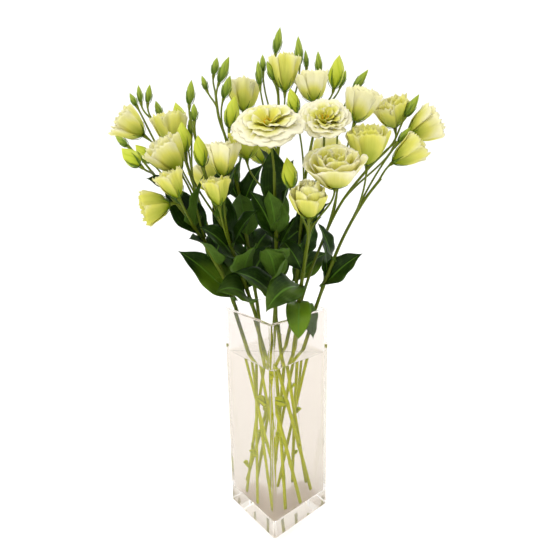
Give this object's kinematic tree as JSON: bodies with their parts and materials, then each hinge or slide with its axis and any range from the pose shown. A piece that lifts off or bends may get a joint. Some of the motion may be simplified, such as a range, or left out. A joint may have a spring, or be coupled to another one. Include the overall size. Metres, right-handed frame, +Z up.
{
  "type": "lisianthus bouquet in a square glass vase",
  "caption": "Bouquet of cream lisianthus with open blooms, half-open bells and green buds on leafy stems, standing in water in a tall square clear glass vase.",
  "frame": {"origin": "centre of the vase's flat underside", "axes": "+Z up through the vase and the bouquet, vase faces square to X and Y; the pictured view looks at the edge between the -X and -Y faces"},
  "size_m": [0.343, 0.3061, 0.6653],
  "materials": {
    "glass": "clear polished glass, thick floor",
    "water": "clear water",
    "leafy_stem": "fresh green stem, leaf and sepal, slightly waxy",
    "petal": "soft matte petal, cream with a lime tint at the root",
    "green_bud": "soft matte petal rolled in a bud, lime green",
    "heart": "yellow-green pistil and stamens"
  },
  "bodies": {
    "root": {"vase": "glass", "water": "water", "stem_far_left": "leafy_stem", "bloom_left_swelling": "green_bud", "bloom_far_left": "petal", "bloom_left_back_swelling": "green_bud", "bloom_left_nodding": "petal", "bloom_left_inner": "petal", "bloom_left_hanging": "petal", "bloom_left_top": "petal", "bloom_left_high_swelling": "green_bud", "stem_left": "leafy_stem", "bloom_left_green": "green_bud", "bloom_middle_green": "green_bud", "bloom_middle_upright": "petal", "bloom_middle_low": "petal", "stem_back_left": "leafy_stem", "bloom_back_high": "petal", "bloom_high_green": "green_bud", "bloom_back_left": "petal", "stem_front": "leafy_stem", "bloom_front": "petal", "bloom_behind_front": "petal", "heart_front": "heart", "stem_back": "leafy_stem", "bloom_top": "petal", "bloom_back": "petal", "stem_back_right": "leafy_stem", "bloom_top_right": "petal", "bloom_top_small": "green_bud", "bloom_top_far_right": "green_bud", "bloom_back_right": "petal", "stem_front_right": "leafy_stem", "bloom_front_right": "petal", "bloom_low_right": "petal", "bloom_low_middle": "petal", "bloom_low_green": "green_bud", "heart_front_right": "heart", "heart_low_right": "heart", "stem_right": "leafy_stem", "bloom_right_swelling": "petal", "bloom_right_middle": "petal", "bloom_right_high": "petal", "bloom_right_inner": "petal", "bloom_far_right": "petal"}
  },
  "joints": []
}
